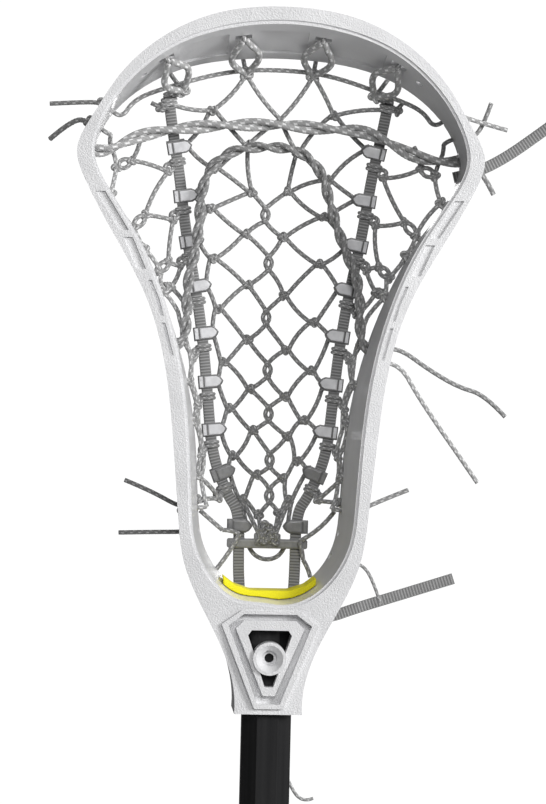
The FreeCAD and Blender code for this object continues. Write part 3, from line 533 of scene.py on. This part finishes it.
def piece(name, skins, look, body=STICK, replaced=()):
    """One mesh from several skins, riding on a body and standing for its CAD nodes."""
    vertices, faces, tones, start = [], [], [], 0
    for places, polygons, shades in skins:
        vertices.append(places)
        faces += [tuple(start + k for k in polygon) for polygon in polygons]
        tones.append(shades)
        start += len(places)
    mesh = bpy.data.meshes.new(name)
    mesh.from_pydata(numpy.concatenate(vertices).tolist(), [], faces)
    shade = numpy.concatenate(tones)
    colours = numpy.stack([shade, shade, shade, numpy.ones_like(shade)], axis=1)
    mesh.color_attributes.new("tone", "FLOAT_COLOR", "POINT").data.foreach_set("color", colours.ravel())
    mesh.polygons.foreach_set("use_smooth", [True] * len(mesh.polygons))
    mesh.materials.append(look)
    made = bpy.data.objects.new(name, mesh)
    bpy.context.scene.collection.objects.link(made)
    if body:
        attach(made, body)
    if replaced:
        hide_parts(*replaced)
    return made


def knot(place, size=1.0, radius=CORD_R, light=1.0):
    """A small pulled-tight knot: one cord that passes over itself three times and ends where it began."""
    spin = Matrix.Rotation(DICE.uniform(0, 2 * math.pi), 3, "Y")
    turn = spin @ Matrix.Rotation(DICE.uniform(-0.4, 0.4), 3, "X")
    loop = []
    for n in range(KNOT_TURNS + 1):
        t = n / KNOT_TURNS * 2 * math.pi
        local = Vector((math.sin(t) + 2 * math.sin(2 * t), -math.sin(3 * t),
                        math.cos(t) - 2 * math.cos(2 * t)))
        loop.append(place + turn @ local * size * KNOT_REACH * MM)
    return braided(loop, radius * KNOT_THIN * MM, light=light)


# ---- camera, light and floor ----


def studio():
    scene = bpy.context.scene
    camera = bpy.data.objects.new("camera", bpy.data.cameras.new("camera"))
    scene.collection.objects.link(camera)
    camera.data.sensor_width = SENSOR
    camera.data.lens = SENSOR / 2 / math.tan(CAMERA_VIEW / 2)
    look = Vector((math.sin(CAMERA_SWING), math.cos(CAMERA_SWING), 0))
    camera.location = Vector((CAMERA_AIM_X, RIM_Y, CAMERA_HEIGHT)) - look * CAMERA_DISTANCE
    level = look.to_track_quat("-Z", "Y").to_matrix()
    camera.rotation_euler = (level @ Matrix.Rotation(CAMERA_ROLL, 3, "Z")).to_euler()
    scene.camera = camera
    scene.view_settings.view_transform = "Standard"

    world = bpy.data.worlds.new("studio")
    world.use_nodes = True
    nodes, links = world.node_tree.nodes, world.node_tree.links
    around = nodes["Background"]
    around.inputs["Strength"].default_value = WORLD_LIGHT
    behind = nodes.new("ShaderNodeBackground")
    behind.inputs["Color"].default_value = (1, 1, 1, 1)
    behind.inputs["Strength"].default_value = BACKDROP
    choose = nodes.new("ShaderNodeMixShader")
    links.new(nodes.new("ShaderNodeLightPath").outputs["Is Camera Ray"], choose.inputs[0])
    links.new(around.outputs["Background"], choose.inputs[1])
    links.new(behind.outputs["Background"], choose.inputs[2])
    links.new(choose.outputs["Shader"], nodes["World Output"].inputs["Surface"])
    around.inputs["Color"].default_value = (1, 1, 1, 1)
    scene.world = world
    for name, place, size, power in LIGHTS:
        light = bpy.data.objects.new(name, bpy.data.lights.new(name, "AREA"))
        light.data.size = size
        light.data.energy = power
        light.location = place
        aim = Vector(LIGHT_AIM) - Vector(place)
        light.rotation_euler = aim.to_track_quat("-Z", "Y").to_euler()
        scene.collection.objects.link(light)

    disc = bpy.data.meshes.new("floor")
    form = bmesh.new()
    bmesh.ops.create_circle(form, cap_ends=True, segments=96, radius=FLOOR_R)
    form.to_mesh(disc)
    form.free()
    floor = bpy.data.objects.new("floor", disc)
    scene.collection.objects.link(floor)
    floor.location.z = -FLOOR_DROP
    disc.materials.append(grained("floor", (0.80, 0.80, 0.80), (0.84, 0.84, 0.84), 0.8, 8, 0.0001))


# ---- free ends ----


def cord_end(name, points, radius, light=1.0):
    """A free end of a cord."""
    line = spline(points, name)
    made = piece(name + "_cord", [braided(line, radius * MM, light=light)], CORD, STICK,
                 [name])


def free_ends():
    """The cord and thong ends outside the head, and a knot where each cord leaves its hole."""
    knots = []
    for name, (radius, side, hole, places, length) in TAILS.items():
        points = in_hole(side, hole, TAIL_START, TAIL_LEAD) + [head_point(*place) for place in places]
        light = 1.5 if name.startswith(("top", "arch_tail_lower")) else 1.0
        cord_end(name, points, radius, light)
        knots.append(knot(points[1], 1.15, radius, light))
    cord_end("tie_cord_tail", [head_point(*place) for place in TIE_CORD_TAIL], THIN_CORD_R, 1.4)
    piece("hole_knots", knots, CORD)
    for name, (places, length) in FLAT_TAILS.items():
        line = spline([head_point(*place) for place in places], name)
        made = piece(name + "_strip", [ribbed(line)], WEBBING, STICK, [name])


# ---- pocket ----


def thong_points(side):
    on_net = [on_pocket(-side * x, h) for x, h in THONG_ROUTE]
    straight = [head_point(side * BAR_X, BAR_Y, h) for h in THONG_STRAIGHT]
    behind = [head_point(side * (BAR_X - step), y, h) for step, y, h in THONG_BEHIND]
    return on_net + straight + behind


def clip_places(side):
    """Each clip's middle, the ways it points, back and up its thong, and how far its outer end reaches."""
    points = thong_points(side)
    count = len(THONG_ROUTE)
    runs = [((high + low) / 2, high - low, CLIP_OUTER_END)
            for high, low in zip(points[1:count - 1], points[2:count])]
    runs.append((head_point(side * BAR_X, BAR_Y, LOW_CLIP_H), points[count] - points[count + 1],
                 LOW_CLIP_OUTER_END))
    places = []
    for middle, rise, outer_end in runs:
        up = rise.normalized()
        inward = Vector((0, 1, 0)).cross(up).normalized()
        if inward.x * side > 0:
            inward = -inward
        back = up.cross(inward).normalized()
        if back.y < 0:
            back = -back
        places.append((middle, inward, back, up, outer_end))
    return places


def behind_clips(side):
    """Where the outer lace turns, just behind each clip's nose."""
    return [middle + (inward * (CLIP_LONG - outer_end - NOSE_BACK) + back * (CLIP_THICK / 2 + CORD_R)) * MM
            for middle, inward, back, _, outer_end in clip_places(side)]


def bevelled_block(form, outline, depth, bevel, look_index, matrix):
    """A prism over an outline, its edges bevelled, added to a mesh being made."""
    half = depth / 2
    front = [form.verts.new(matrix @ Vector((x, -half, z))) for x, z in outline]
    back = [form.verts.new(matrix @ Vector((x, half, z))) for x, z in outline]
    faces = [form.faces.new(front), form.faces.new(list(reversed(back)))]
    count = len(outline)
    faces += [form.faces.new((front[n], back[n], back[(n + 1) % count], front[(n + 1) % count]))
              for n in range(count)]
    edges = [e for face in faces[:2] for e in face.edges]
    made = bmesh.ops.bevel(form, geom=edges, offset=bevel, segments=2, affect="EDGES", profile=0.6)
    for face in set(faces + made["faces"]):
        if face.is_valid:
            face.material_index = look_index


def bullet(back, shoulder, tip, tall, nose):
    """A round-nosed outline, anticlockwise from its lower back corner."""
    edge = [(back, nose[0][1])] + [(shoulder + step * MM, share) for step, share in nose]
    return ([(x, -tall * share) for x, share in edge] + [(tip, 0)]
            + [(x, tall * share) for x, share in reversed(edge)])


def clip(name, place):
    """A bullet-nosed clip with a bevelled face, a collar at its outer end and a pin through it; its body and
    collar are painted dark as shade round the pale raised face.
    """
    middle, inward, back, up, outer_end = place
    matrix = Matrix((inward, back, up)).transposed().to_4x4()
    matrix.translation = middle
    tall = CLIP_TALL / 2 * MM
    tip = (CLIP_LONG - outer_end) * MM
    shoulder = tip - NOSE_LONG * MM
    collar = (-outer_end + COLLAR_LONG) * MM
    outer = -outer_end * MM
    high = tall * COLLAR_TALL
    ends = [(outer, -high), (collar, -high), (collar, high), (outer, high)]
    body = bullet(collar - 0.6 * MM, shoulder, tip, tall, NOSE)
    face = bullet(collar + 0.5 * MM, shoulder, tip - FACE_SHORT * MM, tall, FACE_NOSE)
    form = bmesh.new()
    # The body and the collar carry the painted shade; the raised face and the pin carry the clip's own pale
    # plastic.
    bevelled_block(form, body, CLIP_THICK * MM, CLIP_BEVEL * MM, 1, matrix)
    raised = matrix @ Matrix.Translation((0, -CLIP_THICK / 2 * MM, 0))
    bevelled_block(form, face, FACE_DEEP * MM, FACE_BEVEL * MM, 0, raised)
    bevelled_block(form, ends, (CLIP_THICK + 0.1) * MM, COLLAR_BEVEL * MM, 1, matrix)
    pin = matrix @ Matrix.Translation(((-outer_end + PIN_IN) * MM, -CLIP_THICK / 2 * MM, PIN_UP * MM))
    pin = pin @ Matrix.Rotation(math.pi / 2, 4, "X")
    before = set(form.faces)
    bmesh.ops.create_cone(form, cap_ends=True, segments=14, radius1=0.55 * MM, radius2=0.45 * MM,
                          depth=0.5 * MM, matrix=pin)
    for face in set(form.faces) - before:
        face.material_index = 0
    mesh = bpy.data.meshes.new(name)
    bmesh.ops.recalc_face_normals(form, faces=form.faces)
    form.to_mesh(mesh)
    form.free()
    mesh.materials.append(CLIP_DARK if int(name[-1]) >= FIRST_DARK_CLIP else CLIP)
    mesh.materials.append(CLIP_PAINTED_SHADE)
    made = bpy.data.objects.new(name + "_look", mesh)
    bpy.context.scene.collection.objects.link(made)
    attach(made, STICK)
    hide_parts(name)


def wrap(place, across, out, along, light):
    """Two turns of cord round a thong."""
    turns = []
    for lift in (-1.0, 1.0):
        loop = []
        for n in range(25):
            t = n / 24 * 2 * math.pi
            wide = math.copysign(abs(math.cos(t)) ** 0.6, math.cos(t)) * (THONG_WIDE / 2 + 0.5)
            deep = math.copysign(abs(math.sin(t)) ** 0.8, math.sin(t)) * (THONG_THICK / 2 + 0.9)
            loop.append(place + (across * wide + out * deep + along * lift) * MM)
        turns.append(braided(loop, WRAP_R * MM, light=light))
    return turns


def on_thong(side, h):
    """Where a runner thong is at a height, and the directions across, out of and along it."""
    points = thong_points(side)
    for high, low in zip(points, points[1:]):
        if low.z <= (HEAD_BASE + h) * MM <= high.z:
            share = ((HEAD_BASE + h) * MM - low.z) / (high.z - low.z)
            along = (high - low).normalized()
            across = along.cross(Vector((0, 1, 0))).normalized()
            return low.lerp(high, share), across, across.cross(along), along
    raise ValueError(f"no thong at {h}")


def legs(points, radius, light=1.0):
    """The lengths of cord from knot to knot, each a little slack."""
    skins = []
    for start, end in zip(points, points[1:]):
        sideways = (end - start).cross(Vector((0, 1, 0))) * DICE.uniform(-SLACK, SLACK)
        skins.append(braided(spline([start, (start + end) / 2 + sideways, end]), radius * MM, light=light))
    return skins


def inner_lace(side, inner):
    """An inner cord: from each knot to the middle, round its own side of a small eye there, and back."""
    skins = legs(net_points(inner[:2]), CORD_R)
    for above, (x, h), below in zip(inner[1:], CENTRE, inner[2:]):
        top, low = on_pocket(x, h + EYE_TALL), on_pocket(x, h - EYE_TALL)
        bow = Vector((-side * 2 * EYE_WIDE * MM, 0, 0))
        skins += legs([on_pocket(*above), top], CORD_R) + legs([low, on_pocket(*below)], CORD_R)
        skins.append(braided(spline([top, (top + low) / 2 + bow, low]), CORD_R * MM))
    return skins


def half_net(side, outer, inner, name):
    """Three cords of one half of the pocket, leg by leg, and the knots where they meet."""
    away = side * KNOT_SPREAD
    outer_lace = laced(net_points(shifted(outer, away)), behind_clips(side))
    piece(f"outer_lace_{name}", legs(outer_lace, CORD_R), CORD, STICK,
          [f"crosslace_outer_{name}"])
    middle_lace = net_points(laced(shifted(outer, -away), shifted(inner, away)))
    piece(f"middle_lace_{name}", legs(middle_lace, CORD_R), CORD, STICK,
          [f"crosslace_middle_{name}"])
    piece(f"inner_lace_{name}", inner_lace(side, inner), CORD, STICK,
          [f"crosslace_inner_{name}"])
    knots = [knot(place, 1.0) for place in net_points(outer + inner, 0.6)]
    piece(f"net_knots_{name}", knots, CORD)


def beside_thong(side, h, share):
    """A place on the pocket, a share of the way from a runner thong to its wall."""
    x = side * on_thong(side, h)[0].x / MM
    return on_pocket(side * (x + share * (wall_x(h, HOLE_Y) - x)), h, 1.0)


def lens(start, end):
    """Two strands from one knot to another, bowed apart."""
    bow = (end - start).normalized().cross(Vector((0, 1, 0))) * LENS * MM
    middle = (start + end) / 2
    return [braided(spline([start, middle + bow * step, end]), CORD_R * MM, light=WALL_LIGHT)
            for step in (-2, 2)]


def wall_lacing(side, name):
    """The cord that zigzags beside a runner thong, looped round it under each clip and tied to the wall."""
    heights = [place[0].z / MM - HEAD_BASE for place in clip_places(side)]
    joints = [beside_thong(side, h - drop, share) for h, (share, drop) in zip(heights, JOINTS)]
    joints.append(beside_thong(side, LAST_JOINT[1], LAST_JOINT[0]))
    tied = on_pocket(side * SHOOTING_TIE[0], SHOOTING_TIE[1], SHOOTING_FORWARD)
    skins = legs([tied, joints[0]], CORD_R, WALL_LIGHT)
    for h, joint, following in zip(heights, joints, joints[1:]):
        place, across, out, along = on_thong(side, h - WRAP_DROP)
        skins += wrap(place, across, out, along, WALL_LIGHT)
        edge = place + across * math.copysign(THONG_WIDE / 2 + 1, across.x * side) * MM
        loop_x = side * on_thong(side, h - LOOP_DROP)[0].x / MM + LOOP_OUT
        meeting = on_pocket(side * loop_x, h - LOOP_DROP, 1.0)
        skins += lens(edge, meeting) + legs([joint, meeting, following], CORD_R, WALL_LIGHT)
        skins.append(knot(meeting, 0.8, light=WALL_LIGHT))
    for joint, (x, h) in zip(joints, SIDE_KNOTS):
        held = on_pocket(side * x, h)
        skins += lens(joint, held) + [knot(held, 1.1, light=WALL_LIGHT)]
    for joint in joints[len(SIDE_KNOTS):]:
        h = joint.z / MM - HEAD_BASE
        skins += legs([joint, beside_thong(side, h, 1.0)], CORD_R, WALL_LIGHT)
    skins += [knot(joint, 0.95, light=1.1) for joint in joints]
    skins += legs([head_point(x, LOW_STRING_Y, h) for x, h in LOW_STRINGS[name]], CORD_R, WALL_LIGHT)
    piece(f"wall_lacing_{name}", skins, CORD, STICK, [f"side_lace_{name}"])


def upper_lacing():
    """The V cords from the inner scoop ties, the thongs' ties and the short ends beside the thongs."""
    skins = []
    feet = []
    for x, h, lean in SCOOP_SLOTS:
        angle = math.radians(lean)
        foot = head_point(x - TIE_FOOT_DROP * math.sin(angle), TIE_FOOT_Y,
                          h - TIE_FOOT_DROP * math.cos(angle))
        feet.append(foot)
        skins.append(knot(foot, 1.5, light=1.5))
        if abs(x) > THONG_TIE_X:
            top = on_pocket(math.copysign(THONG_ROUTE[0][0], x), THONG_ROUTE[0][1])
            for step in (-TIE_APART, TIE_APART):
                skins += legs([foot + Vector((step * TIE_CLOSER * MM, 0, 0)),
                               top + Vector((step * MM, 0, 0))], CORD_R, 1.4)
    for side in (-1, 1):
        skins += wrap(*on_thong(side, THONG_TIE_H), 1.4)
    for side, place in ((-1, OUTER_LEFT[0]), (1, OUTER_RIGHT[0])):
        skins += legs([on_thong(side, THONG_LACE_H)[0], on_pocket(*place)], CORD_R, 1.2)
    piece("upper_ties", skins, CORD)
    crossing = on_pocket(*UPPER_CROSSING, 1.0)
    for name, foot, near, far in (("left", feet[1], OUTER_LEFT, INNER_RIGHT),
                                  ("right", feet[2], OUTER_RIGHT, INNER_LEFT)):
        skins = legs([on_pocket(*near[0]), foot, crossing, on_pocket(*far[0])], CORD_R, 1.3)
        piece(f"upper_lacing_{name}", skins, CORD, STICK, [f"upper_lace_{name}"])
    stubs = []
    for side, route in STUBS:
        points = [on_thong(side, STUB_H)[0] + Vector((x, -2.0, h)) * MM for x, h in route]
        stubs += [braided(spline(points), CORD_R * MM, light=0.8), knot(points[1], 1.0, light=0.8)]
    piece("thong_top_stubs", stubs, CORD)


def plait():
    """The crossings above and below each eye in the middle of the pocket."""
    ends = [(x, h + step) for x, h in CENTRE for step in (EYE_TALL, -EYE_TALL)]
    piece("plait", [knot(place, 0.5) for place in net_points(ends, 0.4)], CORD)


def runners():
    for side, name in ((-1, "left"), (1, "right")):
        line = spline(thong_points(side), name)
        piece(f"thong_{name}", [ribbed(line)], WEBBING, STICK, [f"runner_thong_{name}"])
        for number, place in enumerate(clip_places(side), 1):
            clip(f"runner_clip_{name}_{number}", place)


def twisted(name, points, radius, pitch, replaced, light=1.0):
    """Two cords twisted round each other along one line."""
    line, far = evenly(spline(points, name), 0.0008)
    first, second = turning_frames(line)
    skins = []
    for phase in (0.0, math.pi):
        turn = (2 * math.pi * far / (pitch * MM) + phase)[:, None]
        path = line + (first * numpy.cos(turn) + second * numpy.sin(turn)) * radius * 1.04 * MM
        skins.append(braided([Vector(p) for p in path], radius * MM, light=light))
    piece(name, skins, CORD, STICK, replaced)


def strings():
    """The shooting pair, the arch, the top string and the cord down each side."""
    ends = [in_hole(side, SHOOTING_HOLES[0] - 3, HOLE_END, -HOLE_LEAD) for side in (-1, 1)]
    middle = ends[0] + net_points(SHOOTING, SHOOTING_FORWARD) + list(reversed(ends[1]))
    twisted("shooting_pair", middle, PAIR_R, SHOOTING_PITCH,
            ["shooting_string_upper", "shooting_string_lower"], 1.5)
    short = in_hole(1, SHOOTING_HOLES[1], TAIL_START, TAIL_LEAD) + [head_point(*p) for p in SHORT_END]
    piece("shooting_short_end", [braided(spline(short), THICK_CORD_R * MM)], CORD)
    hole = sum(ARCH_HOLES) / 2
    ends = [in_hole(side, hole, HOLE_END, -HOLE_LEAD) for side in (-1, 1)]
    middle = ends[0] + net_points(ARCH, ARCH_FORWARD) + list(reversed(ends[1]))
    twisted("arch_pair", middle, THICK_CORD_R * 1.1, ARCH_PITCH,
            ["pocket_arch_front", "pocket_arch_back"], 0.9)
    top = in_hole(-1, TOP_HOLE, HOLE_END, -HOLE_LEAD) + net_points(TOP_STRING)
    top += in_hole(1, TOP_HOLE, -HOLE_LEAD, HOLE_END)
    piece("top_string_cord", [braided(spline(top), CORD_R * MM, light=1.4)], CORD, STICK,
          ["top_string"])
    for side, name in ((-1, "left"), (1, "right")):
        holes = iter(TURN_HOLES)
        points = in_hole(side, SIDE_HOLE, HOLE_END, -HOLE_LEAD)
        points.append(head_point(side * BEHIND_SHOOTING[0], *BEHIND_SHOOTING[1:]))
        hooks = []
        for place in SIDE_TURNS:
            if place is None:
                points += in_hole(side, next(holes), -CORD_R - NET_GAP)
                hooks.append(points[-1])
            else:
                points.append(on_pocket(side * place[0], place[1]))
        points += in_hole(side, LOW_HOLES[0], -HOLE_LEAD, HOLE_END)
        piece(f"side_cord_{name}", legs(points, CORD_R, 1.3), CORD, STICK,
              [f"side_string_{name}"])
        piece(f"hook_knots_{name}", [knot(place, 1.2, light=1.3) for place in hooks], CORD)


def scoop_loops():
    loops = []
    for x, h, lean in SCOOP_SLOTS:
        angle = math.radians(lean)
        out = Vector((math.sin(angle), 0, math.cos(angle)))
        across = Vector((math.cos(angle), 0, -math.sin(angle)))
        base = head_point(x, 0, h)
        for route, step, radius in ((TIE_STRAND, -1, TIE_R), (TIE_STRAND, 1, TIE_R), (TIE_OVER, 1, CORD_R)):
            points = [base + (Vector((0, y, 0)) + out * rise + across * aside * step) * MM
                      for y, rise, aside in route]
            loops.append(braided(spline(points), radius * MM, light=1.5))
    piece("scoop_loops", loops, CORD, STICK, ["scoop_ties"])


def bar_strings():
    """The ends of the crosslaces, tied in the bar's eyelets, and the loop under the bar."""
    eyelets = [head_point(side * EYELET_X, BAR_Y - BAR_THICK / 2 - CORD_R, EYELET_H) for side in (-1, 1)]
    cluster = [knot(place, 1.4) for place in eyelets]
    cluster += [knot(head_point(x, BAR_Y - BAR_THICK / 2 - CORD_R, h), size) for x, h, size in BAR_CLUSTER]
    piece("eyelet_knots", cluster, CORD, BAR)
    for name, ends, eyelet in (("left", (OUTER_LEFT[-1], INNER_LEFT[-1]), eyelets[0]),
                               ("right", (OUTER_RIGHT[-1], INNER_RIGHT[-1]), eyelets[1])):
        skins = []
        for end in ends:
            start = on_pocket(*end)
            bend = (start + eyelet) / 2 + Vector((0, 0.001, 0))
            skins.append(braided(spline([start, bend, eyelet]), CORD_R * MM))
        made = piece(f"bar_strings_{name}", skins, CORD, None)
        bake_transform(made)
    tie = [head_point(x, BAR_Y + BAR_THICK / 2 + CORD_R + NET_GAP, h) for x, h in BAR_LOOP]
    piece("bar_loop", [braided(spline(tie), CORD_R * MM)], CORD, BAR, ["bar_tie"])


# ---- rigid parts ----


def paint(node, look):
    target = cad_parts[node]
    target.data.materials.clear()
    target.data.materials.append(look)


def foam_pad():
    """The ball stop: the CAD block's form with soft corners."""
    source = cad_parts["ball_stop_pad"]
    made = bpy.data.objects.new("foam_pad", source.data.copy())
    bpy.context.scene.collection.objects.link(made)
    remesh = made.modifiers.new("even", "REMESH")
    remesh.mode = "VOXEL"
    remesh.voxel_size = PAD_VOXEL
    smooth = made.modifiers.new("soft", "SMOOTH")
    smooth.iterations = PAD_SMOOTHING
    smooth.factor = 0.5
    made.data = bpy.data.meshes.new_from_object(made.evaluated_get(bpy.context.evaluated_depsgraph_get()))
    made.modifiers.clear()
    made.data.materials.clear()
    made.data.materials.append(FOAM)
    made.data.polygons.foreach_set("use_smooth", [True] * len(made.data.polygons))
    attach(made, STICK)
    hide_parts("ball_stop_pad")


studio()
free_ends()
for node, look in (("head_frame", HEAD), ("shaft", SHAFT), ("end_cap", RUBBER), ("head_screw", STEEL),
                   ("pocket_bar", BAR_LOOK)):
    paint(node, look)
foam_pad()
runners()
half_net(-1, OUTER_LEFT, INNER_LEFT, "left")
half_net(1, OUTER_RIGHT, INNER_RIGHT, "right")
plait()
for lacing_side, lacing_name in ((-1, "left"), (1, "right")):
    wall_lacing(lacing_side, lacing_name)
upper_lacing()
strings()
scoop_loops()
bar_strings()
